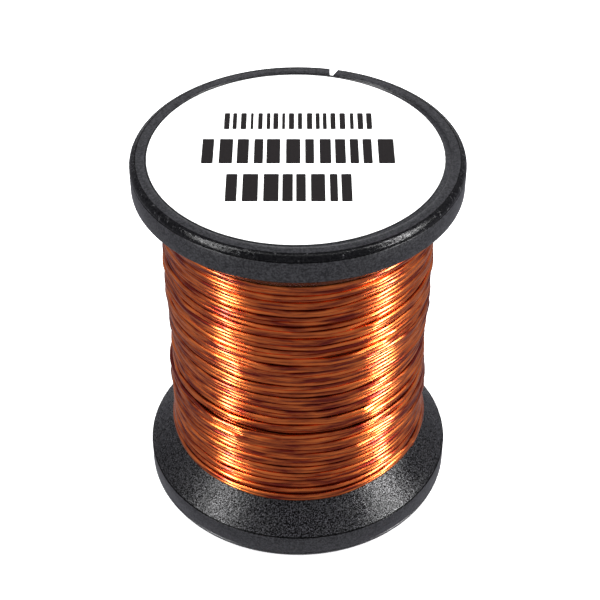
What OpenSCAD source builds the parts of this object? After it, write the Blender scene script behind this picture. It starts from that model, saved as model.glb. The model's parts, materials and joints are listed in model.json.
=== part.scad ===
// Small moulded spool full of enamelled copper wire.
// Two like flanges are glued over the ends of a hub tube, the winding lies
// between their conical faces, and a round paper label covers the top face.
// Millimetres, +Z along the spool's axis. The origin is the centre of the face
// that the spool stands on. -Y is the side from which the label reads upright.

/* [Spool] */
// Diameter of both flanges
flange_d = 28; // [27:0.5:34]
// Height over both flanges
spool_h = 34.5; // [30:0.5:60]
// Diameter of the spindle bore
bore_d = 6.5; // [5:0.1:8]

/* [Flange rim] */
// Height of the cylindrical rim wall
rim_h = 2.5; // [2:0.1:3]
// Radius that rounds the outer edge of the rim
edge_r = 0.5; // [0.3:0.05:0.9]
// Width of the mould's parting groove, just past the rounded edge
seam_w = 0.12; // [0.06:0.02:0.2]
// Depth of the parting groove
seam_depth = 0.07; // [0.03:0.01:0.12]
// Angle of the wire-side cone, measured from the flange's plane
cone_angle = 45; // [42:1:48]

/* [Hub] */
// Outer diameter of the hub tube
barrel_d = 19; // [18:0.1:19.4]
// Wall of the hub tube
barrel_wall = 1.4; // [1:0.1:1.6]
// Wall of the spigot that the tube slides over
spigot_wall = 1.2; // [0.9:0.1:1.4]
// How far the spigot and the boss stand above the web
spigot_h = 6.5; // [5:0.5:10]
// Thickness of the flat web in the middle of a flange
web_t = 2; // [1.4:0.1:2.4]
// Wall of the boss round the spindle bore
boss_wall = 1.35; // [1:0.05:1.5]
// Chamfer at each mouth of the bore
mouth_chamfer = 0.3; // [0.1:0.05:0.4]
// Room left for glue between the tube and the flanges
glue_gap = 0.04; // [0.02:0.01:0.06]

/* [Coring] */
// Inner radius of the coring groove in a flange's outer face
core_in_r = 10.3; // [10.2:0.05:10.4]
// Width of the coring groove
core_w = 1; // [0.8:0.1:1.1]
// Depth of the coring groove below the label seat
core_depth = 3.6; // [2:0.1:3.7]
// Ribs across the coring groove
rib_count = 12; // [6:1:18]
// Thickness of one rib
rib_t = 0.8; // [0.6:0.1:1]
// Diameter of the round ejector marks on the web
ejector_d = 1.8; // [1.2:0.1:2.4]
// Depth of the ejector marks
ejector_depth = 0.1; // [0.05:0.01:0.15]

/* [Label] */
// Diameter of the paper label
label_d = 24.9; // [24:0.1:25]
// Thickness of the paper and its glue
label_t = 0.12; // [0.08:0.01:0.2]
// How far the label sits off the axis, along X and Y
label_shift = [-0.19, 0.08]; // [-0.2:0.01:0.2]
// Diameter of the shallow seat that the label lies in
seat_d = 25.4; // [25.4:0.1:25.8]
// Depth of the label seat
seat_depth = 0.2; // [0.15:0.05:0.4]

/* [Wire notch] */
// Direction of the notch in the top flange, from +X
notch_angle = 76.5; // [60:0.1:120]
// Width of the notch where it opens at the rim
notch_mouth = 0.84; // [0.7:0.02:1.2]
// Width of the notch at its root
notch_root = 0.23; // [0.15:0.01:0.3]
// Depth of the notch, measured in from the rim
notch_depth = 1.3; // [1.25:0.05:1.4]
// Chamfer along the notch's upper edges
notch_chamfer = 0.16; // [0.08:0.02:0.2]

/* [Winding] */
// Outer diameter of the winding
winding_d = 23.2; // [22:0.1:24]
// Diameter of the enamelled wire
wire_d = 0.38; // [0.3:0.01:0.4]
// Room left between the winding and the mouldings
wind_gap = 0.03; // [0.02:0.01:0.06]
// Radius of the bend where the free end turns into the notch
bend_r = 0.5; // [0.4:0.05:0.8]

/* [Hidden] */
$fn = 96;
eps = 0.1;
flange_r = flange_d / 2;
bore_r = bore_d / 2;
barrel_r = barrel_d / 2;
winding_r = winding_d / 2;
seat_r = seat_d / 2;
slope = tan(cone_angle);
socket_r = barrel_r + glue_gap;
collar_r = socket_r + 0.4;
web_top = seat_depth + web_t;
spigot_r = barrel_r - barrel_wall - glue_gap;
boss_r = bore_r + boss_wall;
spigot_top = web_top + spigot_h;
seam_z = edge_r + seam_w / 2;
ejector_ring_r = (boss_r + socket_r) / 2;
// How much wider the notch gets for each millimetre outwards
notch_flare = (notch_mouth - notch_root) / notch_depth;
// Radius at which the notch is as wide as the wire
pinch_r = flange_r - notch_depth + (wire_d + 2 * wind_gap - notch_root) / notch_flare;
// Sides of the free end's tube, and steps round its bend
wire_sides = 12;
bend_steps = 4;
// Radius at which the layer that is seen lies on the layers below it
under_r = winding_r - wire_d;

// Height of the wire-side cone at radius r, on a flange that lies face down.
function cone_z(r) = rim_h + (flange_r - r) * slope;

// Height at which the winding starts at radius r, clear of the cone.
function wind_z(r) = cone_z(r) + wind_gap / cos(cone_angle);

// Height of the wire's free end at radius r, where it lies on the top cone.
function tail_z(r) = spool_h - cone_z(r) - (wire_d / 2 + wind_gap) / cos(cone_angle);

// What the rounding takes off the rim's outer edge.
module edge_waste() {
    difference() {
        translate([flange_r - edge_r, -eps]) square([edge_r + eps, edge_r + eps]);
        translate([flange_r - edge_r, edge_r]) circle(r = edge_r);
    }
}

// Half section of a flange that lies face down: rim, cone, socket, spigot, web and boss.
module flange_section() {
    difference() {
        polygon([
            [bore_r + mouth_chamfer, seat_depth], [seat_r, seat_depth],
            [seat_r, 0], [flange_r, 0],
            [flange_r, rim_h], [collar_r, cone_z(collar_r)],
            [socket_r, cone_z(collar_r)], [socket_r, web_top],
            [spigot_r, web_top], [spigot_r, spigot_top],
            [spigot_r - spigot_wall, spigot_top], [spigot_r - spigot_wall, web_top],
            [boss_r, web_top], [boss_r, spigot_top],
            [bore_r, spigot_top], [bore_r, seat_depth + mouth_chamfer]
        ]);
        edge_waste();
        translate([flange_r - seam_depth, seam_z - seam_w / 2]) square([seam_depth + eps, seam_w]);
    }
}

// Groove that keeps the rim's wall even, with the ribs left standing in it.
module coring() {
    difference() {
        rotate_extrude()
            translate([core_in_r, 0]) square([core_w, seat_depth + core_depth]);
        for (i = [0 : rib_count - 1])
            rotate([0, 0, i * 360 / rib_count])
                translate([core_in_r - eps, -rib_t / 2, 0])
                    cube([core_w + 2 * eps, rib_t, seat_depth + core_depth + eps]);
    }
}

// Round marks that the ejector pins leave on the web.
module ejector_marks() {
    for (i = [0 : 3])
        rotate([0, 0, 45 + i * 90])
            translate([ejector_ring_r, 0, 0]) cylinder(d = ejector_d, h = seat_depth + ejector_depth);
}

// One flange moulding, lying face down.
module flange() {
    difference() {
        rotate_extrude() flange_section();
        coring();
        ejector_marks();
    }
}

// Puts a moulding that lies face down at the top end of the spool.
module at_top() {
    translate([0, 0, spool_h]) mirror([0, 0, 1]) children();
}

// Chamfer along one upper edge of the notch. side is 1 or -1.
module notch_edge_waste(side) {
    flare_angle = atan((notch_mouth - notch_root) / 2 / notch_depth);
    translate([flange_r - notch_depth, side * notch_root / 2, spool_h])
        rotate([0, 0, side * flare_angle])
            rotate([45, 0, 0])
                translate([0, -notch_chamfer / 2, -notch_chamfer / 2])
                    cube([notch_depth + 2 * eps, notch_chamfer, notch_chamfer]);
}

// V that is cut through the top flange's rim to hold the wire's free end.
module notch() {
    root_x = flange_r - notch_depth;
    mouth_x = flange_r + eps;
    mouth_half = notch_root / 2 + (mouth_x - root_x) * notch_flare / 2;
    rotate([0, 0, notch_angle]) {
        translate([0, 0, spool_h - rim_h - notch_depth * slope - eps])
            linear_extrude(rim_h + notch_depth * slope + 2 * eps)
                polygon([
                    [root_x, -notch_root / 2], [mouth_x, -mouth_half],
                    [mouth_x, mouth_half], [root_x, notch_root / 2]
                ]);
        for (side = [-1, 1]) notch_edge_waste(side);
    }
}

module lower_flange() {
    color("#38383a") flange();
}

module upper_flange() {
    color("#38383a") difference() {
        at_top() flange();
        notch();
    }
}

module hub_tube() {
    color("#2c2c2e")
        translate([0, 0, web_top])
            difference() {
                cylinder(r = barrel_r, h = spool_h - 2 * web_top);
                translate([0, 0, -eps])
                    cylinder(r = barrel_r - barrel_wall, h = spool_h - 2 * web_top + 2 * eps);
            }
}

// A shell of the winding between two radii, ending on both cones.
module winding_shell(in_r, out_r) {
    rotate_extrude()
        polygon([
            [in_r, wind_z(in_r)], [out_r, wind_z(out_r)],
            [out_r, spool_h - wind_z(out_r)], [in_r, spool_h - wind_z(in_r)]
        ]);
}

module wire_layers() {
    color("#7a3420") winding_shell(barrel_r + wind_gap, under_r);
}

module wire_top_layer() {
    color("#b4552a") winding_shell(under_r, winding_r);
}

// Tube of the wire's diameter through stations of [radius, height, angle above the horizontal].
module swept_wire(stations) {
    points = [
        for (s = stations, i = [0 : wire_sides - 1])
            let (turn = i * 360 / wire_sides, lift = cos(turn) * wire_d / 2)
                [s[0] - lift * sin(s[2]), sin(turn) * wire_d / 2, s[1] + lift * cos(s[2])]
    ];
    last = (len(stations) - 1) * wire_sides;
    polyhedron(points, [
        [for (i = [wire_sides - 1 : -1 : 0]) i],
        for (ring = [0 : wire_sides : last - 1], i = [0 : wire_sides - 1])
            let (j = (i + 1) % wire_sides)
                [ring + i, ring + j, ring + wire_sides + j, ring + wire_sides + i],
        [for (i = [0 : wire_sides - 1]) last + i]
    ]);
}

// The wire's free end: up the top cone from the last turn, round a bend, then into the notch.
module wire_tail() {
    start_r = winding_r + wire_d;
    bend_z = tail_z(pinch_r - bend_r * (1 - sin(cone_angle))) + bend_r * cos(cone_angle);
    color("#b4552a") rotate([0, 0, notch_angle])
        swept_wire([
            [start_r, tail_z(start_r), cone_angle],
            for (a = [cone_angle : (90 - cone_angle) / bend_steps : 90])
                [pinch_r - bend_r * (1 - sin(a)), bend_z - bend_r * cos(a), a],
            [pinch_r, spool_h - rim_h / 2, 90]
        ]);
}

module face_label() {
    color("#f6f6f4")
        translate([label_shift[0], label_shift[1], spool_h - seat_depth])
            cylinder(d = label_d, h = label_t);
}

lower_flange();
upper_flange();
hub_tube();
wire_layers();
wire_top_layer();
wire_tail();
face_label();
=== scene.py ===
"""Looks of a small moulded spool full of enamelled copper wire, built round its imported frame."""

import json
import logging
import math
from collections.abc import Sequence
from dataclasses import dataclass
from enum import Enum

import bmesh
import bpy
import numpy as np
from mathutils import Matrix, Vector


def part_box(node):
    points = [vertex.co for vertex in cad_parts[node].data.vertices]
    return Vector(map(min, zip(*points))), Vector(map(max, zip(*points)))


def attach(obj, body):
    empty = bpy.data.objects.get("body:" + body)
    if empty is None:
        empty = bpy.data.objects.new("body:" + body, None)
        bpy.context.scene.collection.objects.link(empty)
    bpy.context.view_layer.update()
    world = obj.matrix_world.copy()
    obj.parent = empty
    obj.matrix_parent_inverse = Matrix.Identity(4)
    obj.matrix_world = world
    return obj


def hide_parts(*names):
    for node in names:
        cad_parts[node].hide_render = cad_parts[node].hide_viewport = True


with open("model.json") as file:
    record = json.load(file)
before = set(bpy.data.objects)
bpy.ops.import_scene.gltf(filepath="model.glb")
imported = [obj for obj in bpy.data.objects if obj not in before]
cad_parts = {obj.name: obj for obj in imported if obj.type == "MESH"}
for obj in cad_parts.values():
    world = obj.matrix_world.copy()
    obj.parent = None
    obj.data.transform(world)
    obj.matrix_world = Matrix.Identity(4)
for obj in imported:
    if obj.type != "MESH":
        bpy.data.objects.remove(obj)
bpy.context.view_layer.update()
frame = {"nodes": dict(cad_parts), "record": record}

MM = 0.001
log = logging.getLogger("wire_spool")


# --------------------------------------------------------------------------------------
# Colours and nodes
# --------------------------------------------------------------------------------------


def linear(code: str) -> tuple[float, float, float, float]:
    """Turn an sRGB hex colour into the linear colour that shaders take.

    Args:
        code: six hex digits with a leading hash.

    Returns:
        Linear red, green and blue, and an alpha of 1.
    """
    shares = [int(code[i : i + 2], 16) / 255 for i in (1, 3, 5)]
    return (*[s / 12.92 if s <= 0.04045 else ((s + 0.055) / 1.055) ** 2.4 for s in shares], 1.0)


def add_node(
    tree: bpy.types.NodeTree,
    kind: str,
    settings: dict[str, object] | None = None,
    links: dict[int | str, bpy.types.NodeSocket] | None = None,
    **values: object,
) -> bpy.types.Node:
    """Add one node with its settings, its socket values and its incoming links.

    Args:
        tree: node tree that gets the node.
        kind: node type, such as ShaderNodeTexNoise.
        settings: values of input sockets, by socket name or index.
        links: output sockets to join to input sockets, by name or index.
        **values: the node's own properties.

    Returns:
        The new node.
    """
    node = tree.nodes.new(kind)
    for name, value in values.items():
        setattr(node, name, value)
    for socket, value in (settings or {}).items():
        node.inputs[socket].default_value = value
    for socket, source in (links or {}).items():
        tree.links.new(source, node.inputs[socket])
    return node


def start_material(name: str) -> tuple[bpy.types.Material, bpy.types.NodeTree, bpy.types.NodeSocket]:
    """Make an empty node material.

    Args:
        name: the material's name.

    Returns:
        The material, its node tree and the output's surface socket.
    """
    material = bpy.data.materials.new(name)
    material.use_nodes = True
    tree = material.node_tree
    tree.nodes.clear()
    output = tree.nodes.new("ShaderNodeOutputMaterial")
    return material, tree, output.inputs["Surface"]


def per_mm(size_mm: float) -> float:
    """Texture scale whose features are about size_mm across on coordinates in metres."""
    return 1 / (size_mm * MM)


# --------------------------------------------------------------------------------------
# Finishes
# --------------------------------------------------------------------------------------


@dataclass(frozen=True)
class MouldedAbs:
    """Black ABS as it leaves a mould: satin, polished or spark-eroded, by its numbers.

    The eye gets a near-black body whose grey comes from the sheen and from a paler colour on
    the grain's high points, which on the spark-eroded cone is painted glint, broken up by the
    mould's texture and by light handling marks. A mould's real grain is some 0.03 mm across,
    so it is drawn as coarse as it needs to be to show.
    """

    name: str
    body: str = "#19191b"
    fleck: str = "#2a2a2d"
    nick: str = "#5a5a5c"
    roughness: float = 0.42
    roughness_spread: float = 0.08
    grain_mm: float = 0.16
    grain_bump: float = 0.25
    grain_depth_mm: float = 0.02
    fleck_from: float = 0.42
    fleck_rise: float = 0.18
    gloss_low: float = 0.35
    gloss_high: float = 0.6
    scuffs: float = 0.0
    nick_mm: float = 0.45
    nick_depth_mm: float = 0.05
    blotch_mm: float = 2.5
    ior: float = 1.54

    def build(self) -> bpy.types.Material:
        """Make the node material.

        Returns:
            The material.
        """
        material, tree, surface = start_material(self.name)
        where = add_node(tree, "ShaderNodeTexCoord").outputs["Object"]
        grain = add_node(
            tree,
            "ShaderNodeTexNoise",
            {"Scale": per_mm(self.grain_mm), "Detail": 3.0, "Roughness": 0.6},
            {"Vector": where},
        ).outputs["Fac"]
        blotch = add_node(
            tree,
            "ShaderNodeTexNoise",
            {"Scale": per_mm(self.blotch_mm), "Detail": 4.0, "Roughness": 0.65},
            {"Vector": where},
        ).outputs["Fac"]
        rough = add_node(
            tree,
            "ShaderNodeMapRange",
            {
                "From Min": 0.3,
                "From Max": 0.7,
                "To Min": self.roughness - self.roughness_spread,
                "To Max": self.roughness + self.roughness_spread,
            },
            {"Value": blotch},
        ).outputs["Result"]
        # The grain's high points take the paler fleck colour; on the spark-eroded cone it is painted
        # glint.
        flecks = add_node(
            tree,
            "ShaderNodeMapRange",
            {"From Min": self.fleck_from, "From Max": self.fleck_from + self.fleck_rise},
            {"Value": grain},
        ).outputs["Result"]
        tone = add_node(
            tree,
            "ShaderNodeMix",
            {6: linear(self.body), 7: linear(self.fleck)},
            {0: flecks},
            data_type="RGBA",
        ).outputs[2]
        bump = add_node(
            tree,
            "ShaderNodeBump",
            {"Strength": self.grain_bump, "Distance": self.grain_depth_mm * MM},
            {"Height": grain},
        ).outputs["Normal"]
        if self.scuffs > 0:
            tone, rough, bump = self.add_scuffs(tree, where, tone, rough, bump)
        gloss = add_node(
            tree,
            "ShaderNodeMapRange",
            {
                "From Min": 0.38,
                "From Max": 0.62,
                "To Min": self.gloss_low,
                "To Max": self.gloss_high,
            },
            {"Value": grain},
        ).outputs["Result"]
        shader = add_node(
            tree,
            "ShaderNodeBsdfPrincipled",
            {"IOR": self.ior},
            {
                "Base Color": tone,
                "Roughness": rough,
                "Specular IOR Level": gloss,
                "Normal": bump,
            },
        )
        tree.links.new(shader.outputs["BSDF"], surface)
        return material

    def add_scuffs(
        self,
        tree: bpy.types.NodeTree,
        where: bpy.types.NodeSocket,
        tone: bpy.types.NodeSocket,
        rough: bpy.types.NodeSocket,
        bump: bpy.types.NodeSocket,
    ) -> tuple[bpy.types.NodeSocket, bpy.types.NodeSocket, bpy.types.NodeSocket]:
        """Wear a polished edge with short pale nicks from handling.

        Args:
            tree: the material's node tree.
            where: object coordinates.
            tone: base colour so far.
            rough: roughness so far.
            bump: normal so far.

        Returns:
            Base colour, roughness and normal with the nicks in them.
        """
        nicks = add_node(
            tree,
            "ShaderNodeTexNoise",
            {"Scale": per_mm(self.nick_mm), "Detail": 5.0, "Roughness": 0.75, "Distortion": 0.6},
            {"Vector": where},
        ).outputs["Fac"]
        mask = add_node(
            tree,
            "ShaderNodeMapRange",
            {"From Min": 0.58, "From Max": 0.7, "To Max": self.scuffs},
            {"Value": nicks},
        ).outputs["Result"]
        worn = add_node(
            tree, "ShaderNodeMix", {7: linear(self.nick)}, {0: mask, 6: tone}, data_type="RGBA"
        ).outputs[2]
        dull = add_node(
            tree, "ShaderNodeMath", {}, {0: rough, 1: mask}, operation="ADD", use_clamp=True
        ).outputs[0]
        dented = add_node(
            tree,
            "ShaderNodeBump",
            {"Strength": 0.5, "Distance": self.nick_depth_mm * MM},
            {"Height": nicks, "Normal": bump},
        ).outputs["Normal"]
        return worn, dull, dented


@dataclass(frozen=True)
class EnamelledCopper:
    """Drawn copper wire under a clear amber enamel.

    The eye gets a metal whose red-orange comes from the enamel, with a light clear gloss on
    top, and turns that differ a little from each other. The drawing die's scratches run along
    the wire, so they spread a highlight across each turn.
    """

    name: str
    deep: str = "#88281c"
    bright: str = "#fc8640"
    roughness: float = 0.26
    spread: float = 0.6
    coat: float = 0.25
    tone_run_mm: float = 4.0
    turn_mm: float = 0.4
    peel_mm: float = 0.5
    peel_depth_mm: float = 0.02

    def build(self) -> bpy.types.Material:
        """Make the node material.

        Returns:
            The material.
        """
        material, tree, surface = start_material(self.name)
        where = add_node(tree, "ShaderNodeTexCoord").outputs["Object"]
        # Turns run level, so the tone changes fast in height and slowly along a turn.
        run = per_mm(self.tone_run_mm)
        along = add_node(
            tree, "ShaderNodeMapping", {"Scale": (run, run, per_mm(self.turn_mm))}, {"Vector": where}
        ).outputs["Vector"]
        turn_tone = add_node(
            tree,
            "ShaderNodeTexNoise",
            {"Scale": 1.0, "Detail": 3.0, "Roughness": 0.6},
            {"Vector": along},
        ).outputs["Fac"]
        brightness = add_node(
            tree, "ShaderNodeMapRange", {"From Min": 0.38, "From Max": 0.63}, {"Value": turn_tone}
        ).outputs["Result"]
        tone = add_node(
            tree,
            "ShaderNodeMix",
            {6: linear(self.deep), 7: linear(self.bright)},
            {0: brightness},
            data_type="RGBA",
        ).outputs[2]
        peel = add_node(
            tree,
            "ShaderNodeTexNoise",
            {"Scale": per_mm(self.peel_mm), "Detail": 2.0},
            {"Vector": where},
        ).outputs["Fac"]
        bump = add_node(
            tree,
            "ShaderNodeBump",
            {"Strength": 0.15, "Distance": self.peel_depth_mm * MM},
            {"Height": peel},
        ).outputs["Normal"]
        around = add_node(tree, "ShaderNodeTangent", direction_type="RADIAL", axis="Z").outputs[0]
        shader = add_node(
            tree,
            "ShaderNodeBsdfPrincipled",
            {
                "Metallic": 1.0,
                "Roughness": self.roughness,
                "Anisotropic": self.spread,
                "Anisotropic Rotation": 0.25,
                "Coat Weight": self.coat,
                "Coat Roughness": 0.1,
                "Coat IOR": 1.55,
            },
            {"Base Color": tone, "Normal": bump, "Tangent": around},
        )
        tree.links.new(shader.outputs["BSDF"], surface)
        return material


@dataclass(frozen=True)
class StickerPaper:
    """Coated white sticker paper.

    The eye gets a clean flat white with a trace of fibre, drawn coarser than real fibre.
    """

    name: str = "coated_sticker_paper"
    sheet: str = "#f7f7f5"
    fibre: str = "#fcfcfb"
    fibre_mm: float = 0.3
    fibre_depth_mm: float = 0.01

    def build(self) -> bpy.types.Material:
        """Make the node material.

        Returns:
            The material.
        """
        material, tree, surface = start_material(self.name)
        where = add_node(tree, "ShaderNodeTexCoord").outputs["Object"]
        fibre = add_node(
            tree,
            "ShaderNodeTexNoise",
            {"Scale": per_mm(self.fibre_mm), "Detail": 4.0, "Roughness": 0.7},
            {"Vector": where},
        ).outputs["Fac"]
        tone = add_node(
            tree,
            "ShaderNodeMix",
            {6: linear(self.sheet), 7: linear(self.fibre)},
            {0: fibre},
            data_type="RGBA",
        ).outputs[2]
        bump = add_node(
            tree,
            "ShaderNodeBump",
            {"Strength": 0.1, "Distance": self.fibre_depth_mm * MM},
            {"Height": fibre},
        ).outputs["Normal"]
        shader = add_node(
            tree,
            "ShaderNodeBsdfPrincipled",
            {"Roughness": 0.5, "IOR": 1.5},
            {"Base Color": tone, "Normal": bump},
        )
        tree.links.new(shader.outputs["BSDF"], surface)
        return material


@dataclass(frozen=True)
class PrintedInk:
    """Black thermal print.

    The eye gets a flat black, a little brown and uneven, with hardly any sheen.
    """

    name: str = "thermal_print_black"
    ink: str = "#0d0a0b"
    thin: str = "#1a1616"
    speck_mm: float = 0.25

    def build(self) -> bpy.types.Material:
        """Make the node material.

        Returns:
            The material.
        """
        material, tree, surface = start_material(self.name)
        where = add_node(tree, "ShaderNodeTexCoord").outputs["Object"]
        speck = add_node(
            tree,
            "ShaderNodeTexNoise",
            {"Scale": per_mm(self.speck_mm), "Detail": 3.0, "Roughness": 0.7},
            {"Vector": where},
        ).outputs["Fac"]
        tone = add_node(
            tree,
            "ShaderNodeMix",
            {6: linear(self.ink), 7: linear(self.thin)},
            {0: speck},
            data_type="RGBA",
        ).outputs[2]
        shader = add_node(
            tree,
            "ShaderNodeBsdfPrincipled",
            {"Roughness": 0.6, "IOR": 1.5, "Specular IOR Level": 0.12},
            {"Base Color": tone},
        )
        tree.links.new(shader.outputs["BSDF"], surface)
        return material


@dataclass(frozen=True)
class StudioPaper:
    """Seamless background paper, lit through from below.

    The eye gets an even white that the spool stands on, with only a faint mottle.
    """

    name: str = "seamless_white_paper"
    sheet: str = "#f4f4f4"
    mottle: str = "#f8f8f8"
    mottle_mm: float = 40.0
    light: str = "#ffffff"
    glow: float = 0.5

    def build(self) -> bpy.types.Material:
        """Make the node material.

        Returns:
            The material.
        """
        material, tree, surface = start_material(self.name)
        where = add_node(tree, "ShaderNodeTexCoord").outputs["Object"]
        mottle = add_node(
            tree, "ShaderNodeTexNoise", {"Scale": per_mm(self.mottle_mm), "Detail": 2.0}, {"Vector": where}
        ).outputs["Fac"]
        tone = add_node(
            tree,
            "ShaderNodeMix",
            {6: linear(self.sheet), 7: linear(self.mottle)},
            {0: mottle},
            data_type="RGBA",
        ).outputs[2]
        shader = add_node(
            tree,
            "ShaderNodeBsdfPrincipled",
            {"Roughness": 0.9, "Emission Color": linear(self.light), "Emission Strength": self.glow},
            {"Base Color": tone},
        )
        tree.links.new(shader.outputs["BSDF"], surface)
        return material


# --------------------------------------------------------------------------------------
# Mesh helpers
# --------------------------------------------------------------------------------------


def mesh_object(
    name: str,
    points_mm: np.ndarray,
    faces: np.ndarray | Sequence[Sequence[int]],
    materials: Sequence[bpy.types.Material],
    slots: np.ndarray | None = None,
    smooth: bool = True,
) -> bpy.types.Object:
    """Make a mesh object in the scene from points in millimetres.

    Args:
        name: the object's name.
        points_mm: n by 3 points.
        faces: corner numbers of each face.
        materials: the materials of the object's slots.
        slots: the slot of each face, or None for the first.
        smooth: whether faces shade smoothly.

    Returns:
        The new object, at the origin.
    """
    mesh = bpy.data.meshes.new(name)
    mesh.from_pydata((np.asarray(points_mm, float) * MM).tolist(), [], [list(f) for f in faces])
    for material in materials:
        mesh.materials.append(material)
    count = len(mesh.polygons)
    mesh.polygons.foreach_set("use_smooth", np.full(count, smooth))
    if slots is not None:
        mesh.polygons.foreach_set("material_index", np.asarray(slots, np.int32))
    mesh.update()
    made = bpy.data.objects.new(name, mesh)
    bpy.context.scene.collection.objects.link(made)
    return made


def ring_faces(rings: int, around: int, closed_rings: bool = False) -> np.ndarray:
    """Quads between successive rings of points.

    Args:
        rings: number of rings.
        around: points in each ring.
        closed_rings: whether the last ring joins the first.

    Returns:
        Corner numbers, four to a face, ring by ring.
    """
    first = np.arange(rings if closed_rings else rings - 1)
    here = first[:, None] * around
    there = ((first + 1) % rings)[:, None] * around
    i = np.arange(around)[None, :]
    j = (i + 1) % around
    return np.stack([here + i, here + j, there + j, there + i], axis=-1).reshape(-1, 4)


def capped_faces(rings: int, around: int, base: int = 0) -> list[list[int]]:
    """Faces of a closed tube: the quads between its rings of points, and both its ends.

    Args:
        rings: number of rings.
        around: points in each ring.
        base: number of the tube's first point.

    Returns:
        Corner numbers of each face.
    """
    last = base + (rings - 1) * around
    ends = [list(range(base, base + around))[::-1], list(range(last, last + around))]
    return (ring_faces(rings, around) + base).tolist() + ends


def revolved(
    outline: Sequence[tuple[float, float]], steps: int, x: float = 0.0, y: float = 0.0
) -> np.ndarray:
    """Turn an outline about an upright axis.

    Args:
        outline: radius and height of each point.
        steps: points round the axis.
        x: where the axis stands.
        y: where the axis stands.

    Returns:
        The points, one ring for each point of the outline.
    """
    angle = np.linspace(0, 2 * math.pi, steps, endpoint=False)
    return np.array([(x + r * math.cos(a), y + r * math.sin(a), z) for r, z in outline for a in angle])


def cut(target: bpy.types.Object, cutter: bpy.types.Object) -> None:
    """Cut one closed mesh out of another and drop the cutter.

    Args:
        target: the object that is cut.
        cutter: the closed mesh that is taken away.
    """
    modifier = target.modifiers.new("cut", "BOOLEAN")
    modifier.operation = "DIFFERENCE"
    modifier.solver = "EXACT"
    modifier.object = cutter
    with bpy.context.temp_override(object=target, active_object=target):
        bpy.ops.object.modifier_apply(modifier=modifier.name)
    bpy.data.objects.remove(cutter, do_unlink=True)


def shade_by_angle(target: bpy.types.Object, degrees: float) -> None:
    """Shade smoothly, except across edges sharper than an angle.

    Args:
        target: the object whose edges are marked.
        degrees: the angle from which an edge is sharp.
    """
    sheet = bmesh.new()
    sheet.from_mesh(target.data)
    limit = math.radians(degrees)
    for edge in sheet.edges:
        edge.smooth = not (edge.is_manifold and edge.calc_face_angle(0.0) > limit)
    for face in sheet.faces:
        face.smooth = True
    sheet.to_mesh(target.data)
    sheet.free()


def place(piece: bpy.types.Object, slot: str, *nodes: str) -> None:
    """Ride a piece on the spool's body, in place of some CAD nodes, and report it.

    Args:
        piece: the finished piece.
        slot: the record's material slot; not used.
        *nodes: the CAD nodes that the piece stands for.
    """
    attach(piece, "root")
    if nodes:
        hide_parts(*nodes)
    log.info("%s: %d faces, for %s", piece.name, len(piece.data.polygons), nodes or "itself")


# --------------------------------------------------------------------------------------
# Sizes read from the frame
# --------------------------------------------------------------------------------------


@dataclass(frozen=True)
class SpoolSizes:
    """The spool's driving sizes, in millimetres."""

    flange_r: float
    height: float
    winding_r: float
    bore_r: float
    barrel_r: float
    label_r: float
    label_x: float
    label_y: float
    label_low: float
    label_high: float
    wire_d: float
    rim_h: float = 2.5
    edge_r: float = 0.5
    glue_gap: float = 0.04
    notch_angle: float = 76.5

    @classmethod
    def from_frame(cls) -> "SpoolSizes":
        """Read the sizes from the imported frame.

        Returns:
            The sizes.
        """
        label_low, label_high = (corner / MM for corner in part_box("face_label"))
        nodes = ("lower_flange", "upper_flange", "wire_top_layer", "wire_layers", "hub_tube")
        rim, top, layer, under, tube = (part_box(node)[1] / MM for node in nodes)
        bore = next(m for m in frame["record"]["mounts"] if m["name"] == "spindle_bore")
        return cls(
            flange_r=rim.x,
            height=top.z,
            winding_r=layer.x,
            bore_r=bore["dims"]["r_mm"],
            barrel_r=tube.x,
            label_r=(label_high.x - label_low.x) / 2,
            label_x=(label_high.x + label_low.x) / 2,
            label_y=(label_high.y + label_low.y) / 2,
            label_low=label_low.z,
            label_high=label_high.z,
            wire_d=round(layer.x - under.x, 2),
        )

    @property
    def socket_r(self) -> float:
        """Radius of the socket that the hub tube's end is glued into."""
        return self.barrel_r + self.glue_gap

    def cone_z(self, r: float | np.ndarray) -> float | np.ndarray:
        """Height of the lower flange's cone at radius r."""
        return self.rim_h + (self.flange_r - r)


# --------------------------------------------------------------------------------------
# Flanges
# --------------------------------------------------------------------------------------


class End(Enum):
    """Which end of the spool a flange closes."""

    LOWER = "lower_flange"
    UPPER = "upper_flange"


class Zone(Enum):
    """Part of a flange's skin, by how that part of the mould was finished, or painted shade in a groove or
    corner.
    """

    SATIN = 0
    POLISHED = 1
    GRAINED = 2
    PLAIN = 3
    # Painted shade: grooves and corners drawn near-black and almost without gloss.
    CREASE = 4


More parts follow.
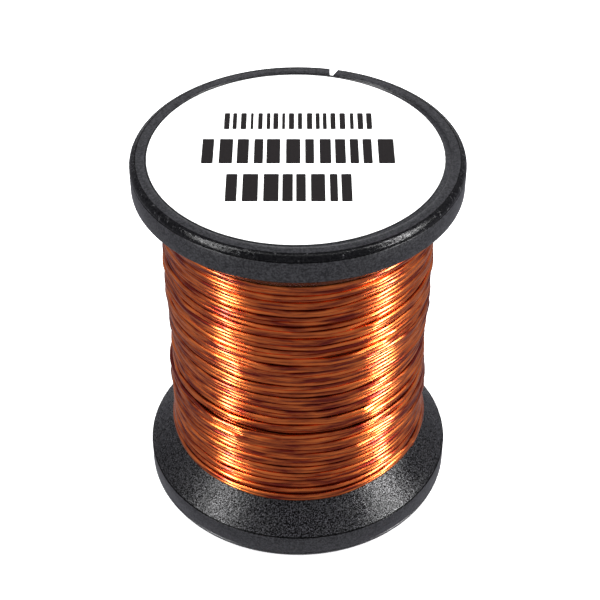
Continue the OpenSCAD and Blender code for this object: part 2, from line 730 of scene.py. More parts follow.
@dataclass
class FlangeMoulding:
    """One flange: rim, rounded shoulder, label seat, grained cone, web, boss and coring.

    Lengths are millimetres and angles are degrees.
    """

    sizes: SpoolSizes
    end: End
    steps: int = 900
    seat_r: float = 12.7
    seat_depth: float = 0.2
    seam_z: float = 0.56
    seam_w: float = 0.12
    seam_depth: float = 0.07
    web_t: float = 2.0
    spigot_h: float = 6.5
    spigot_wall: float = 1.2
    barrel_wall: float = 1.4
    boss_wall: float = 1.35
    collar_w: float = 0.4
    mouth_chamfer: float = 0.3
    rim_crease: float = 0.09
    cone_rows: int = 46
    grain_mm: float = 0.004
    core_in_r: float = 10.3
    core_w: float = 1.0
    core_depth: float = 3.6
    rib_count: int = 12
    rib_t: float = 0.8
    ejector_d: float = 1.8
    ejector_depth: float = 0.1
    overcut: float = 0.2
    notch_mouth: float = 0.84
    notch_root: float = 0.23
    notch_depth: float = 1.3
    notch_chamfer: float = 0.12
    seed: int = 17

    def profile(self) -> tuple[np.ndarray, np.ndarray, slice]:
        """Closed half section, face down, as radius and height.

        Offsets under 0.1 mm round the corners that a real mould leaves slightly soft.

        Returns:
            The points, the zone of the stretch that follows each point, and the rows of the cone.
        """
        s = self.sizes
        turn = np.radians(np.linspace(0, 90, 13))
        shoulder = [
            (s.flange_r - s.edge_r + s.edge_r * math.sin(a), s.edge_r - s.edge_r * math.cos(a))
            for a in turn
        ]
        collar_r = s.socket_r + self.collar_w
        web_top = self.seat_depth + self.web_t
        top = web_top + self.spigot_h
        spigot_r = s.barrel_r - self.barrel_wall - s.glue_gap
        spigot_in_r = spigot_r - self.spigot_wall
        boss_r = s.bore_r + self.boss_wall
        half = self.seam_w / 2
        cone_r = np.linspace(s.flange_r - self.rim_crease, collar_r, self.cone_rows)
        worn = Zone.POLISHED if self.end is End.UPPER else Zone.SATIN
        # On the upper flange the line at the ring's edge and the seam groove get painted shade.
        seam = Zone.CREASE if self.end is End.UPPER else Zone.SATIN
        stretches: list[tuple[Zone, list[tuple[float, float]]]] = [
            (Zone.PLAIN, [(s.bore_r + self.mouth_chamfer, self.seat_depth)]),
            (Zone.PLAIN, [(r, self.seat_depth) for r in (6.0, 9.0, 11.8, self.seat_r - 0.06)]),
            (Zone.SATIN, [(self.seat_r, self.seat_depth - 0.05), (self.seat_r, 0.06)]),
            (Zone.SATIN, [(self.seat_r + 0.02, 0.02), (self.seat_r + 0.07, 0.0)]),
            (Zone.SATIN, [(self.seat_r + 0.3, 0.0)]),
            (seam, [(s.flange_r - s.edge_r - 0.05, 0.0)]),
            (worn, shoulder[:-1]),
            (seam, [(s.flange_r - 0.01, self.seam_z - half)]),
            (seam, [(s.flange_r - self.seam_depth, self.seam_z)]),
            (Zone.SATIN, [(s.flange_r - 0.015, self.seam_z + half)]),
            (Zone.SATIN, [(s.flange_r, self.seam_z + half + 0.03), (s.flange_r, s.rim_h - 0.06)]),
            # The corner where the rim meets the cone gets painted shade.
            (Zone.CREASE, [(s.flange_r - 0.012, s.rim_h - 0.015)]),
            (Zone.GRAINED, [(r, s.cone_z(r)) for r in cone_r]),
            (Zone.PLAIN, [(s.socket_r, s.cone_z(collar_r)), (s.socket_r, web_top)]),
            (Zone.PLAIN, [(spigot_r, web_top), (spigot_r, top), (spigot_in_r, top)]),
            (Zone.PLAIN, [(spigot_in_r, web_top), (boss_r, web_top), (boss_r, top)]),
            (Zone.PLAIN, [(s.bore_r, top), (s.bore_r, self.seat_depth + self.mouth_chamfer)]),
        ]
        points = np.array([p for _, stretch in stretches for p in stretch])
        zones = np.array([zone.value for zone, stretch in stretches for _ in stretch])
        cone = next(i for i, (zone, _) in enumerate(stretches) if zone is Zone.GRAINED)
        first = sum(len(stretch) for _, stretch in stretches[:cone])
        return points, zones, slice(first, first + self.cone_rows)

    def grain(self) -> np.ndarray:
        """Random heights of the spark-eroded grain.

        Returns:
            The height at each row and step of the cone, in millimetres.
        """
        rows = self.cone_rows
        rng = np.random.default_rng(self.seed)
        field = rng.normal(size=(rows, self.steps))
        for axis in (0, 1):
            field = (np.roll(field, 1, axis) + 2 * field + np.roll(field, -1, axis)) / 4
        field = field / field.std()
        # It fades out over the first and last two rows, where the cone meets other stretches.
        fade = np.minimum(1.0, np.minimum(np.arange(rows), np.arange(rows)[::-1]) / 2.0)
        return self.grain_mm * np.clip(field, -1.8, 1.8) * fade[:, None] - self.grain_mm

    def notch_cutter(self) -> bpy.types.Object:
        """Make the V prism, flared at the top, that cuts the notch through the upper rim.

        It runs past the rim outwards, upwards and downwards, so that the cut goes right through.

        Returns:
            The closed cutter.
        """
        s = self.sizes
        root = s.flange_r - self.notch_depth
        mouth = s.flange_r + 0.5
        flare = (self.notch_mouth - self.notch_root) / 2 / self.notch_depth
        above = 0.02
        levels = [
            (s.height - s.rim_h - 2.0, 0.0),
            (s.height - self.notch_chamfer, 0.0),
            (s.height + above, self.notch_chamfer + above),
        ]
        points = []
        for z, grow in levels:
            root_half = self.notch_root / 2 + grow
            mouth_half = root_half + flare * (mouth - root)
            points += [(root, -root_half, z), (mouth, -mouth_half, z)]
            points += [(mouth, mouth_half, z), (root, root_half, z)]
        turn = math.radians(s.notch_angle)
        c, n = math.cos(turn), math.sin(turn)
        placed = [(x * c - y * n, x * n + y * c, z) for x, y, z in points]
        faces = capped_faces(len(levels), 4)
        return mesh_object("notch_cutter", np.array(placed), faces, [], smooth=False)

    def core_cutter(self) -> bpy.types.Object:
        """Make the arc slots that cut the coring groove between its ribs, face down.

        Returns:
            The closed cutter.
        """
        r_low, r_high = self.core_in_r, self.core_in_r + self.core_w
        bottom, roof = -self.overcut, self.seat_depth + self.core_depth
        arc_steps = 16
        points: list[tuple[float, float, float]] = []
        faces: list[list[int]] = []
        rib_half = self.rib_t / (r_low + r_high)
        for rib in range(self.rib_count):
            start = 2 * math.pi * rib / self.rib_count + rib_half
            stop = 2 * math.pi * (rib + 1) / self.rib_count - rib_half
            faces += capped_faces(arc_steps, 4, len(points))
            for a in np.linspace(start, stop, arc_steps):
                for r, z in ((r_low, bottom), (r_high, bottom), (r_high, roof), (r_low, roof)):
                    points.append((r * math.cos(a), r * math.sin(a), z))
        outward = [face[::-1] for face in faces]
        return mesh_object("core_cutter", np.array(points), outward, [], smooth=False)

    def ejector_cutter(self) -> bpy.types.Object:
        """Make the round plugs that press the ejector marks into the web, face down.

        Returns:
            The closed cutter.
        """
        s = self.sizes
        ring_r = (s.bore_r + self.boss_wall + s.socket_r) / 2
        around = 36
        plug = [(self.ejector_d / 2, -self.overcut)]
        plug += [(self.ejector_d / 2, self.seat_depth + self.ejector_depth)]
        points = []
        faces: list[list[int]] = []
        for mark, turn in enumerate(np.radians((45, 135, 225, 315))):
            points.append(revolved(plug, around, ring_r * math.cos(turn), ring_r * math.sin(turn)))
            faces += capped_faces(2, around, mark * 2 * around)
        return mesh_object("ejector_cutter", np.concatenate(points), faces, [], smooth=False)

    def build(self, finishes: Sequence[bpy.types.Material]) -> bpy.types.Object:
        """Build the flange in place.

        Args:
            finishes: the materials, in the order of Zone.

        Returns:
            The finished piece.
        """
        points, zones, cone = self.profile()
        angle = np.linspace(0, 2 * math.pi, self.steps, endpoint=False)
        radius = np.repeat(points[:, :1], self.steps, axis=1)
        height = np.repeat(points[:, 1:], self.steps, axis=1)
        # The grain stands square to the 45 degree cone, so it moves radius and height alike.
        rough = self.grain() * math.sqrt(0.5)
        radius[cone] += rough
        height[cone] += rough
        grid = np.stack([radius * np.cos(angle), radius * np.sin(angle), height], axis=-1)
        faces = ring_faces(len(points), self.steps, closed_rings=True)
        slots = np.repeat(zones, self.steps)
        made = mesh_object(self.end.value + "_skin", grid.reshape(-1, 3), faces, finishes, slots)
        cut(made, self.core_cutter())
        cut(made, self.ejector_cutter())
        if self.end is End.UPPER:
            turned = np.array([v.co for v in made.data.vertices])
            turned[:, 2] = self.sizes.height * MM - turned[:, 2]
            made.data.vertices.foreach_set("co", turned.astype(np.float32).ravel())
            made.data.flip_normals()
            cut(made, self.notch_cutter())
        shade_by_angle(made, 28)
        place(made, "black_plastic", self.end.value)
        return made


# --------------------------------------------------------------------------------------
# Winding
# --------------------------------------------------------------------------------------


@dataclass
class WireWinding:
    """The wire, laid turn beside turn under tension, each turn resting on those below it.

    A height field holds, for each direction and height, how far out a wire's centre rests.
    Each turn keeps clear of the turn before, is pulled straight over what it crosses, and
    then raises the field for the next layer. bulges gives how much fuller the winding is at
    each height. sways and jitters give the wire's wandering, as periods in turns and sizes in
    millimetres, before and after neighbouring turns are kept apart. Lengths are millimetres,
    angles are degrees, and steps are points to a turn.
    """

    sizes: SpoolSizes
    steps: int = 240
    sides: int = 10
    layers: int = 4
    shown_layers: int = 3
    pitch: float = 0.415
    inner_pitch: float = 0.395
    tight_turns: int = 3
    crown_turns: int = 2
    bulges: tuple[tuple[float, float], ...] = (
        (5.0, 0.0),
        (11.0, 0.05),
        (14.0, -0.14),
        (16.0, -0.14),
        (19.0, 0.04),
        (23.0, 0.08),
        (29.5, 0.06),
    )
    rise: float = 0.405
    cell: float = 0.02
    field_from: float = 3.0
    look_ahead: int = 80
    outer_gap: float = 0.985
    step_share: float = 0.14
    waver: float = 0.02
    swell: float = 1.08
    highest_lift: float = 0.6
    dip_share: float = 0.1
    end_angle: float = 52.0
    sways: tuple[tuple[float, float], ...] = (
        (9.0, 0.05),
        (3.1, 0.03),
        (1.3, 0.04),
        (0.55, 0.045),
        (0.27, 0.03),
        (0.13, 0.012),
    )
    jitters: tuple[tuple[float, float], ...] = ((0.16, 0.007), (0.09, 0.004))
    seed: int = 11

    def lowest(self, r: float) -> float:
        """Lowest height of a turn's centre at radius r, where it lies on the lower cone."""
        return float(self.sizes.cone_z(r)) + self.sizes.wire_d / 2 * math.sqrt(2)

    def smooth_noise(
        self, count: int, rng: np.random.Generator, parts: Sequence[tuple[float, float]]
    ) -> np.ndarray:
        """Smooth random swing along the wire.

        Args:
            count: points along the wire.
            rng: source of the randomness.
            parts: period in turns and size in millimetres of each part of the swing.

        Returns:
            The swing at each point, in millimetres.
        """
        swing = np.zeros(count)
        turn = np.arange(count) / self.steps
        for period, size in parts:
            knots = rng.normal(size=int(turn[-1] / period * 2) + 4)
            at = turn / period * 2
            low = at.astype(int)
            share = (1 - np.cos(math.pi * (at - low))) / 2
            swing += size * (knots[low] * (1 - share) + knots[low + 1] * share)
        return swing

    def heights(
        self, count: int, low: float, high: float, outer: bool, rng: np.random.Generator
    ) -> np.ndarray:
        """Height of the wire along one layer that is wound upwards.

        Args:
            count: points in the layer.
            low: height at the layer's start.
            high: height at its end.
            outer: whether this is the layer on top, which lies less evenly.
            rng: source of the unevenness.

        Returns:
            The height at each point.
        """
        s = self.steps
        gap = self.sizes.wire_d * (self.outer_gap if outer else 1.0)
        turn = np.arange(count) / s
        last = turn[-1]
        lead = self.tight_turns
        # Close to a flange, a turn lies level and steps up over its last stretch.
        step = np.clip((turn % 1 - (1 - self.step_share)) / self.step_share, 0, 1)
        stepped = np.floor(turn) + (1 - np.cos(math.pi * step)) / 2
        foot = low + gap * stepped
        head = high - gap * np.interp(last - turn, turn, stepped)
        bends = (0, lead, last - lead, last)
        slack = np.interp(turn, bends, (low, low + gap * lead, high - gap * lead, high))
        ease = np.clip(np.minimum(turn, last - turn) - lead + 1, 0, 1)
        near_end = np.where(turn < last / 2, foot, head)
        path = near_end * (1 - ease) + slack * ease
        share = (1.0 if outer else 0.25) * np.clip(np.minimum(turn, last - turn) / lead - 0.6, 0, 1)
        path += share * self.smooth_noise(count, rng, self.sways)
        for start in range(s, count, s):
            stop = min(start + s, count)
            path[start:stop] = np.maximum(path[start:stop], path[start - s : stop - s] + gap)
        for stop in range(count - s, 0, -s):
            start = max(stop - s, 0)
            path[start:stop] = np.minimum(path[start:stop], path[start + s : stop + s] - gap)
        for _ in range(5):
            path[1:-1] = (path[:-2] + 2 * path[1:-1] + path[2:]) / 4
        path += share * self.smooth_noise(count, rng, self.jitters)
        path = np.clip(path, low, high)
        if not outer:
            return path
        # The last turns climb the upper cone, each a step further up and out.
        climb = np.arange(self.crown_turns * s) / s
        climbed = np.floor(climb) + np.clip(climb % 1 / self.step_share, 0, 1)
        return np.concatenate([path, high + gap * math.sqrt(0.5) * climbed])

    def bare_field(self, base_r: float, z_of: np.ndarray) -> np.ndarray:
        """Field before any layer is laid.

        Args:
            base_r: radius of the first layer's centre.
            z_of: height of each cell.

        Returns:
            Radius at which a wire's centre rests, by direction and height.
        """
        bulge = np.interp(z_of, *zip(*self.bulges))
        floor_r = self.lowest(0.0) - np.minimum(z_of, self.sizes.height - z_of)
        return np.tile(np.maximum(base_r + bulge, floor_r), (self.steps, 1))

    def cover(self, row: np.ndarray, z_of: np.ndarray, radius: float, z: float) -> None:
        """Raise one direction of the field over a wire that was laid there.

        Args:
            row: the field in that direction, which is changed.
            z_of: height of each cell.
            radius: radius of the wire's centre.
            z: height of the wire's centre.
        """
        d = self.sizes.wire_d
        reach = int(d / self.cell) + 1
        centre = int((z - self.field_from) / self.cell)
        near = slice(max(0, centre - reach), centre + reach + 2)
        off = z_of[near] - z
        over = radius + np.sqrt(np.maximum(0.0, d * d - off * off))
        row[near] = np.maximum(row[near], np.where(np.abs(off) < d, over, 0.0))

    def layer(
        self, number: int, field: np.ndarray, z_of: np.ndarray, base_r: float, rng: np.random.Generator
    ) -> tuple[np.ndarray, np.ndarray, np.ndarray]:
        """Wind one layer over those below it, and raise the field over it.

        Args:
            number: the layer's number, from the inside.
            field: where a wire's centre rests, which is changed.
            z_of: height of each of the field's cells.
            base_r: radius of the first layer's centre.
            rng: source of the unevenness.

        Returns:
            Angle, radius and height of the wire's centre.
        """
        s = self.steps
        d = self.sizes.wire_d
        outer = number == self.layers - 1
        low = self.lowest(base_r + number * self.rise + d * 0.5)
        high = self.sizes.height - low
        pitch = self.pitch if outer else self.inner_pitch
        height = self.heights(int((high - low) / pitch * s), low, high, outer, rng)
        count = len(height)
        if (self.layers - number) % 2 == 0:
            height = self.sizes.height - height
        column = np.arange(count) % s
        radius = np.zeros(count)
        swing = self.waver * (1.0 if outer else 0.3)
        bend = np.abs(self.smooth_noise(count, rng, ((0.11, swing), (0.06, swing * 0.5))))
        for start in range(0, count, s):
            stop = min(start + s, count)
            span = np.arange(start, min(stop + self.look_ahead, count))
            rest = self.rest_radius(field, column[span], height[span]) + bend[span]
            behind = radius[max(0, start - self.look_ahead) : start]
            tight = self.pull_tight(np.concatenate([behind, rest]))[len(behind) :]
            radius[start:stop] = tight[: stop - start]
            for k in range(start, stop):
                self.cover(field[column[k]], z_of, radius[k], height[k])
        if outer:
            radius = np.minimum(radius, np.median(radius) + self.highest_lift)
            # The layer's start comes up from below, where the wire left the layer before it.
            dip = np.clip(1 - np.arange(count) / (self.dip_share * s), 0, 1)
            radius -= d * 1.1 * dip**1.5
        return 2 * math.pi * np.arange(count) / s, radius, height

    def lay(self) -> list[tuple[np.ndarray, np.ndarray, np.ndarray]]:
        """Wind all layers.

        Returns:
            For each layer, the angle, radius and height of the wire's centre.
        """
        rng = np.random.default_rng(self.seed)
        sizes = self.sizes
        base_r = sizes.winding_r - sizes.wire_d / 2 - (self.layers - 1) * self.rise
        cells = int((sizes.height - 2 * self.field_from) / self.cell)
        z_of = self.field_from + self.cell * np.arange(cells)
        field = self.bare_field(base_r, z_of)
        layers = [self.layer(number, field, z_of, base_r, rng) for number in range(self.layers)]
        shift = sizes.winding_r - sizes.wire_d / 2 - float(np.median(layers[-1][1]))
        turn = math.radians(self.end_angle) - layers[-1][0][-1]
        log.info("winding shifted by %.3f mm to its radius in the frame", shift)
        return [(a + turn, r + shift, z) for a, r, z in layers]

    def rest_radius(self, field: np.ndarray, column: np.ndarray, z: np.ndarray) -> np.ndarray:
        """Radius at which a wire's centre rests at each point of a stretch.

        Args:
            field: where a wire's centre rests, by direction and height.
            column: the direction of each point.
            z: the height of each point.

        Returns:
            The radius at each point.
        """
        place_in = np.clip((z - self.field_from) / self.cell, 0, field.shape[1] - 2)
        low = place_in.astype(int)
        share = place_in - low
        return field[column, low] * (1 - share) + field[column, low + 1] * share

    def pull_tight(self, rest: np.ndarray) -> np.ndarray:
        """Pull a stretch of wire straight between the points that it lies on.

        In plan, a straight run is a parabola of radius against angle, so with that parabola
        taken off, a tight wire is the upper hull of where it rests.

        Args:
            rest: radius at which each point rests.

        Returns:
            The radius of the tight wire.
        """
        turn = 2 * math.pi / self.steps * np.arange(len(rest))
        bow = np.median(rest) * turn * turn / 2
        level = rest - bow
        hull: list[int] = []
        for i in range(len(level)):
            while len(hull) > 1:
                a, b = hull[-2], hull[-1]
                if (level[b] - level[a]) * (i - b) > (level[i] - level[b]) * (b - a):
                    break
                hull.pop()
            hull.append(i)
        tight = np.interp(np.arange(len(level)), hull, level[hull]) + bow
        soft = tight.copy()
        for _ in range(6):
            soft[1:-1] = (soft[:-2] + 2 * soft[1:-1] + soft[2:]) / 4
        return np.maximum(tight, soft)

    def tube(
        self,
        name: str,
        path: tuple[np.ndarray, np.ndarray, np.ndarray],
        sides: int,
        material: bpy.types.Material,
    ) -> bpy.types.Object:
        """Sweep the wire's round section along a laid path.

        Args:
            name: the piece's name.
            path: angle, radius and height of the centre.
            sides: sides of the section.
            material: the wire's finish.

        Returns:
            The new piece, closed at both ends.
        """
        angle, radius, height = path
        out = np.stack([np.cos(angle), np.sin(angle), np.zeros_like(angle)], axis=-1)
        centre = out * radius[:, None]
        centre[:, 2] = height
        way = np.gradient(centre, axis=0)
        way /= np.linalg.norm(way, axis=1, keepdims=True)
        side = np.cross(way, out)
        side /= np.linalg.norm(side, axis=1, keepdims=True)
        out = np.cross(side, way)
        around = 2 * math.pi * np.arange(sides) / sides
        half = self.sizes.wire_d / 2 * self.swell
        ring = (
            out[:, None, :] * np.cos(around)[None, :, None]
            + side[:, None, :] * np.sin(around)[None, :, None]
        )
        points = (centre[:, None, :] + half * ring).reshape(-1, 3)
        return mesh_object(name, points, capped_faces(len(angle), sides), [material])

    def build(self, outer: bpy.types.Material, inner: bpy.types.Material) -> float:
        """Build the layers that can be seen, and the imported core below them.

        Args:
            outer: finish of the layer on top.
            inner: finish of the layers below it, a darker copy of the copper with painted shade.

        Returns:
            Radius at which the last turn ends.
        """
        layers = self.lay()
        shown = layers[-self.shown_layers :]
        for number, path in enumerate(shown[:-1]):
            thin = tuple(part[::2] for part in path)
            piece = self.tube(f"wire_under_layer_{number + 1}", thin, 8, inner)
            place(piece, "inner_wire", "wire_layers")
        angle, radius, height = shown[-1]
        half = len(angle) // 2
        for number, part in enumerate((slice(0, half + 1), slice(half, None))):
            path = (angle[part], radius[part], height[part])
            piece = self.tube(f"wire_top_layer_{number + 1}", path, self.sides, outer)
            place(piece, "enamelled_wire", "wire_top_layer")
        core = self.core(float(shown[0][1].min()) - self.sizes.wire_d * 0.4, inner)
        place(core, "inner_wire", "wire_layers")
        turns = len(angle) // self.steps
        log.info("top layer: %d turns, radius %.2f to %.2f mm", turns, radius.min(), radius.max())
        return float(radius[-1])

    def core(self, top_r: float, material: bpy.types.Material) -> bpy.types.Object:
        """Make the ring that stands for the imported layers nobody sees, ridged like turns.

        Args:
            top_r: radius at which the layers above it lie.
            material: the wire's finish.

        Returns:
            The new piece.
        """
        s = self.sizes
        inner_r = s.barrel_r + 0.03
        low = self.lowest(top_r)
        high = s.height - low
        ridge = np.arange(low, high, s.wire_d / 6)
        bulge = s.wire_d * 0.3 * np.abs(np.sin(math.pi * (ridge - low) / s.wire_d))
        outline = [(top_r - s.wire_d * 0.3 + b, z) for b, z in zip(bulge, ridge)]
        foot = float(s.cone_z(inner_r)) + 0.04
        outline = [(inner_r, s.height - foot), (inner_r, foot), *outline]
        steps = 120
        faces = ring_faces(len(outline), steps, closed_rings=True)
        return mesh_object("wire_core", revolved(outline, steps), faces, [material])


@dataclass
class WireTail:
    """The wire's free end, drawn off the last turn, up the cone and into the notch.

    It leaves the last turn at leave_r, the notch pinches it at pinch_r, and it ends at top_z.
    """

    sizes: SpoolSizes
    leave_r: float
    pinch_r: float = 13.14
    top_z: float = 33.2
    clear: float = 0.02
    sides: int = 12

    def route(self) -> np.ndarray:
        """Lead the wire's centre line from the last turn to the notch.

        Returns:
            The points of the line, in millimetres.
        """
        s = self.sizes
        lift = s.wire_d / 2 * math.sqrt(2) + self.clear
        leave_r = self.leave_r
        run = math.sqrt(self.pinch_r**2 - leave_r**2)
        swing = math.acos(leave_r / self.pinch_r)
        end = math.radians(s.notch_angle)
        start = end - swing
        out = np.array([math.cos(start), math.sin(start), 0.0])
        way = np.array([-math.sin(start), math.cos(start), 0.0])
        low = s.height - float(s.cone_z(leave_r)) - lift
        points = []
        for a in np.radians(np.linspace(-6, -2, 3)):
            c, n = math.cos(start + a), math.sin(start + a)
            points.append([leave_r * c, leave_r * n, low])
        for share in np.linspace(0, 0.93, 14):
            p = out * leave_r + way * run * share
            limit = s.height - float(s.cone_z(math.hypot(p[0], p[1]))) - lift
            points.append([p[0], p[1], limit])
        corner = np.array([math.cos(end) * self.pinch_r, math.sin(end) * self.pinch_r, 0.0])
        base = s.height - float(s.cone_z(self.pinch_r)) - lift
        for rise in (0.12, 0.35, 0.8, 1.4, self.top_z - base):
            points.append([corner[0], corner[1], base + rise])
        return np.array(points)

    def build(self, material: bpy.types.Material) -> bpy.types.Object:
        """Sweep the wire along the route, with round bends.

        Args:
            material: the wire's finish.

        Returns:
            The finished piece.
        """
        route = self.route()
        for _ in range(3):
            before, after = route[:-1], route[1:]
            finer = np.empty((2 * len(before), 3))
            finer[0::2] = 0.75 * before + 0.25 * after
            finer[1::2] = 0.25 * before + 0.75 * after
            route = np.vstack([route[:1], finer, route[-1:]])
        way = np.gradient(route, axis=0)
        way /= np.linalg.norm(way, axis=1, keepdims=True)
        side = np.cross(way[0], [0.0, 0.0, 1.0])
        rings = []
        around = 2 * math.pi * np.arange(self.sides) / self.sides
        for at, along in zip(route, way):
            side = side - along * (side @ along)
            side /= np.linalg.norm(side)
            third = np.cross(along, side)
            ring = np.cos(around)[:, None] * side + np.sin(around)[:, None] * third
            rings.append(at + self.sizes.wire_d / 2 * ring)
        faces = capped_faces(len(rings), self.sides)
        made = mesh_object("wire_free_end", np.concatenate(rings), faces, [material])
        place(made, "enamelled_wire", "wire_tail")
        return made


# --------------------------------------------------------------------------------------
# Label
# --------------------------------------------------------------------------------------


@dataclass(frozen=True)
class PrintRow:
    """One row of plain upright bars, in millimetres from the label's centre."""

    x: float
    y: float
    length: float
    height: float
    stroke: float
    space: float


@dataclass
class FaceLabel:
    """Round sticker in the seat of the upper flange, printed with plain bars, in millimetres."""

    sizes: SpoolSizes
    steps: int = 360
    trim: float = 0.07
    glue_inset: float = 0.15
    ink_t: float = 0.006
    bar_corner: float = 0.12
    rows: tuple[PrintRow, ...] = (
        PrintRow(0.2, 4.85, 12.6, 2.5, 0.38, 0.34),
        PrintRow(0.2, 0.32, 16.0, 3.6, 0.95, 0.38),
        PrintRow(-0.55, -4.87, 10.2, 3.8, 0.95, 0.36),
    )
    seed: int = 4

    def sheet(self, paper: bpy.types.Material) -> bpy.types.Object:
        """Make the thin paper disc with its softly rolled edge, on glue that stops short of it.

        Args:
            paper: the sticker's finish.

        Returns:
            The finished piece.
        """
        s = self.sizes
        low, high = s.label_low, s.label_high
        edge = s.label_r - self.trim
        outline = [
            (0.02, low),
            (edge * 0.5, low),
            (edge - self.glue_inset, low),
            (edge - self.glue_inset, high - 0.035),
            (edge - 0.01, high - 0.035),
            (edge, high - 0.025),
            (edge - 0.008, high - 0.008),
            (edge - 0.03, high),
            (edge * 0.9, high - 0.004),
            (edge * 0.6, high - 0.004),
            (0.02, high - 0.004),
        ]
        points = revolved(outline, self.steps, s.label_x, s.label_y)
        faces = capped_faces(len(outline), self.steps)
        made = mesh_object("face_label_sheet", points, faces, [paper])
        shade_by_angle(made, 60)
        place(made, "label_paper", "face_label")
        return made

    def bars(self) -> list[tuple[float, float, float, float]]:
        """Share each row out among plain upright bars of uneven width.

        Returns:
            Centre x, centre y, width and height of each bar, in millimetres.
        """
        rng = np.random.default_rng(self.seed)
        placed = []
        for row in self.rows:
            count = round((row.length + row.space) / (row.stroke + row.space))
            widths = row.stroke * rng.uniform(0.6, 1.4, count)
            gaps = row.space * rng.uniform(0.7, 1.3, count)
            gaps[-1] = 0.0
            fit = row.length / (widths.sum() + gaps.sum())
            x = row.x - row.length / 2
            for w, g in zip(widths * fit, gaps * fit):
                placed.append((x + w / 2, row.y, w, row.height))
                x += w + g
        return placed

    def printing(self, ink: bpy.types.Material) -> bpy.types.Object:
        """Make the thin raised ink, one plate for each bar, with round corners.

        Args:
            ink: the print's finish.

        Returns:
            The finished piece.
        """
        s = self.sizes
        points: list[tuple[float, float, float]] = []
        faces: list[list[int]] = []
        for x, y, w, h in self.bars():
            corner = min(self.bar_corner, w * 0.4)
            ring = []
            for quarter, (sx, sy) in enumerate(((1, 1), (-1, 1), (-1, -1), (1, -1))):
                cx = x + sx * (w / 2 - corner)
                cy = y + sy * (h / 2 - corner)
                for a in np.radians(np.linspace(0, 90, 7) + 90 * quarter):
                    ring.append((cx + corner * math.cos(a), cy + corner * math.sin(a)))
            faces += capped_faces(2, len(ring), len(points))
            for z in (s.label_high - self.ink_t, s.label_high):
                points += [(s.label_x + px, s.label_y + py, z) for px, py in ring]
        made = mesh_object("face_label_print", np.array(points), faces, [ink], smooth=False)
        place(made, "label_paper")
        return made


# --------------------------------------------------------------------------------------
# Studio
# --------------------------------------------------------------------------------------


@dataclass(frozen=True)
class StripBox:
    """A long soft box, leaned so that its highlight runs straight up the winding.

    azimuth says where on the winding the highlight runs, in degrees from the front towards
    the right. low and high are the heights of the box's ends in degrees, distance and width
    are metres, and brightness is the light's own radiance.
    """

    name: str
    azimuth: float
    low: float
    high: float
    distance: float
    width: float
    brightness: float

    def build(self, target: Vector, viewer: Vector) -> bpy.types.Object:
        """Make the light.

        Args:
            target: the point that it faces.
            viewer: unit vector from the target to the camera.

        Returns:
            The light object.
        """
        a = math.radians(self.azimuth)
        out = Vector((math.sin(a), -math.cos(a), 0))
        along = Vector((math.cos(a), math.sin(a), 0))
        side = -viewer.dot(along)
        rest = math.sqrt(1 - side * side)
        ends = []
        for degrees in (self.low, self.high):
            e = math.radians(degrees)
            way = side * along + rest * (math.cos(e) * out + math.sin(e) * Vector((0, 0, 1)))
            ends.append(target + way * self.distance)
        length = ends[1] - ends[0]
        middle = (ends[0] + ends[1]) / 2
        x_axis = length.normalized()
        z_axis = middle - target
        z_axis = (z_axis - x_axis * z_axis.dot(x_axis)).normalized()
        data = bpy.data.lights.new(self.name, "AREA")
        data.shape = "RECTANGLE"
        data.size = length.length
        data.size_y = self.width
        data.energy = self.brightness * math.pi * length.length * self.width
        light = bpy.data.objects.new(self.name, data)
        turn = Matrix((x_axis, z_axis.cross(x_axis), z_axis)).transposed()
        light.matrix_world = Matrix.Translation(middle) @ turn.to_4x4()
        bpy.context.scene.collection.objects.link(light)
        return light


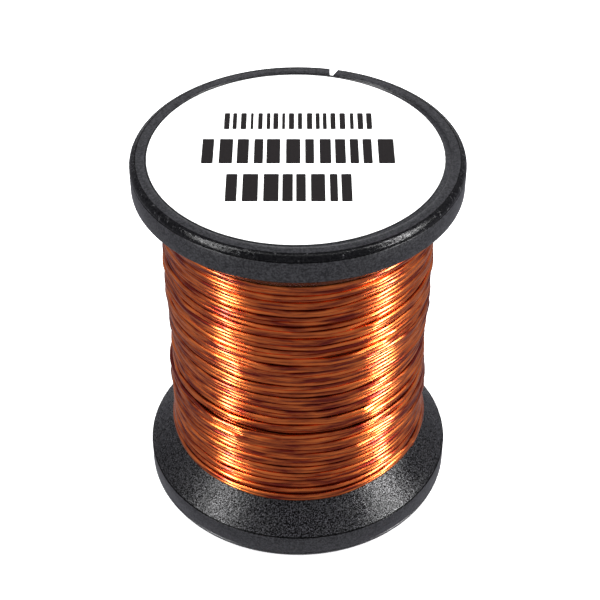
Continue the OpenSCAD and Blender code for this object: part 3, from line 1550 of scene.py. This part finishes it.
@dataclass
class Studio:
    """Pale floor, soft lights, white surroundings and the camera, in metres.

    The floor lies floor_drop millimetres below the foot, so that the two don't coincide.
    """

    sizes: SpoolSizes
    floor_span: float = 6.0
    floor_lines: int = 9
    floor_drop: float = 0.02
    surround: float = 0.36
    camera_at: tuple[float, float, float] = (0.0, -0.1041, 0.1054)
    aim_height: float = 0.01742
    lens: float = 90.7

    def floor(self) -> None:
        """Large sheet of white paper just below the foot."""
        half = self.floor_span / 2 / MM
        n = self.floor_lines
        steps = np.linspace(-half, half, n)
        points = np.array([(x, y, -self.floor_drop) for y in steps for x in steps])
        corners = [j * n + i for j in range(n - 1) for i in range(n - 1)]
        faces = [(c, c + 1, c + n + 1, c + n) for c in corners]
        sheet = mesh_object("floor", points, faces, [StudioPaper().build()])
        sheet.visible_glossy = False

    def lights(self) -> None:
        """Two tall narrow boxes at the sides, and broad weak ones overhead and behind."""
        middle = Vector((0, 0, self.sizes.height / 2 * MM))
        viewer = (Vector(self.camera_at) - middle).normalized()
        for box in (
            StripBox("left_strip", -27.5, -5, 88, 0.6, 0.036, 36.0),
            StripBox("right_strip", 34.0, -5, 88, 0.6, 0.042, 46.0),
            StripBox("overhead_box", 0, 82, 104, 0.9, 0.9, 1.0),
            StripBox("back_panel", 180, 8, 24, 0.9, 0.8, 1.1),
        ):
            box.build(middle, viewer)

    def surroundings(self) -> None:
        """White to the camera, and a softer grey for what the spool reflects."""
        world = bpy.data.worlds.new("white_surroundings")
        bpy.context.scene.world = world
        world.use_nodes = True
        tree = world.node_tree
        tree.nodes.clear()
        rays = add_node(tree, "ShaderNodeLightPath").outputs["Is Camera Ray"]
        dim = add_node(
            tree, "ShaderNodeBackground", {"Color": linear("#f4f4ff"), "Strength": self.surround}
        ).outputs[0]
        white = add_node(
            tree, "ShaderNodeBackground", {"Color": linear("#ffffff"), "Strength": 1.0}
        ).outputs[0]
        both = add_node(tree, "ShaderNodeMixShader", {}, {0: rays, 1: dim, 2: white}).outputs[0]
        add_node(tree, "ShaderNodeOutputWorld", {}, {"Surface": both})

    def camera(self) -> None:
        """The camera, looking down on the front of the spool."""
        data = bpy.data.cameras.new("camera")
        data.lens = self.lens
        data.sensor_width = 36.0
        data.shift_x = 0.0035
        data.shift_y = 0.0173
        data.clip_start = 0.001
        camera = bpy.data.objects.new("camera", data)
        camera.location = self.camera_at
        look = Vector(self.camera_at) - Vector((0, 0, self.aim_height))
        camera.rotation_euler = look.to_track_quat("Z", "Y").to_euler()
        bpy.context.scene.collection.objects.link(camera)
        bpy.context.scene.camera = camera

    def build(self) -> None:
        """Set up the whole studio."""
        self.camera()
        self.floor()
        self.lights()
        self.surroundings()
        bpy.context.scene.view_settings.view_transform = "Standard"


# --------------------------------------------------------------------------------------
# Assembly
# --------------------------------------------------------------------------------------


def flange_skins() -> list[bpy.types.Material]:
    """Make the finishes of a flange's stretches of mould.

    Returns:
        The materials, in the order of Zone.
    """
    # A finely blasted mould leaves a soft even sheen.
    satin = MouldedAbs("abs_satin", "#0c0c0e", "#262629", roughness=0.33, roughness_spread=0.05)
    # Handling has worn and nicked the shoulder, which mirrors the studio's boxes.
    polished = MouldedAbs(
        "abs_polished",
        "#020203",
        "#050506",
        roughness=0.14,
        grain_bump=0.05,
        gloss_low=0.1,
        gloss_high=0.35,
        scuffs=0.5,
    )
    # Spark erosion leaves pits that are black inside; the grain's high points between them take a paler
    # colour as painted glint.
    grained = MouldedAbs(
        "abs_spark_eroded",
        "#010101",
        "#303033",
        roughness=0.27,
        grain_mm=0.12,
        grain_bump=0.7,
        grain_depth_mm=0.03,
        fleck_from=0.47,
        gloss_low=0.0,
        gloss_high=0.55,
    )
    # The mould's inner faces are left as they were cut, so these look duller and a shade paler.
    plain = MouldedAbs("abs_plain", roughness=0.36, grain_bump=0.1)
    # Painted shade: the seam groove, the line where the ring meets the shoulder and the corner where the
    # rim meets the cone get a near-black, almost glossless skin, so each reads as a thin black line.
    painted_shade_line = MouldedAbs("abs_crease", "#020202", "#040404", gloss_low=0.0, gloss_high=0.1)
    return [finish.build() for finish in (satin, polished, grained, plain, painted_shade_line)]


def dress_hub_tube() -> None:
    """Give the hub tube, which keeps its CAD shape, the even dull skin of extruded plastic."""
    tube = frame["nodes"]["hub_tube"]
    tube.data.materials.clear()
    tube.data.materials.append(MouldedAbs("abs_extruded", roughness=0.4).build())
    log.info("hub_tube: CAD shape, dressed")


def main() -> None:
    """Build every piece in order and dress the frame."""
    logging.basicConfig(level=logging.INFO, format="%(name)s: %(message)s")
    sizes = SpoolSizes.from_frame()
    Studio(sizes).build()
    skins = flange_skins()
    for end in End:
        FlangeMoulding(sizes, end).build(skins)
    dress_hub_tube()
    outer = EnamelledCopper("enamelled_copper").build()
    # Painted shade: the turns below the top layer get a darker, browner copy of the copper, for the little
    # light that reaches them.
    inner = EnamelledCopper("enamelled_copper_inner", deep="#8a2e18", bright="#cc622e").build()
    leave_r = WireWinding(sizes).build(outer, inner)
    WireTail(sizes, leave_r).build(outer)
    label = FaceLabel(sizes)
    label.sheet(StickerPaper().build())
    label.printing(PrintedInk().build())


if __name__ == "__main__":
    main()
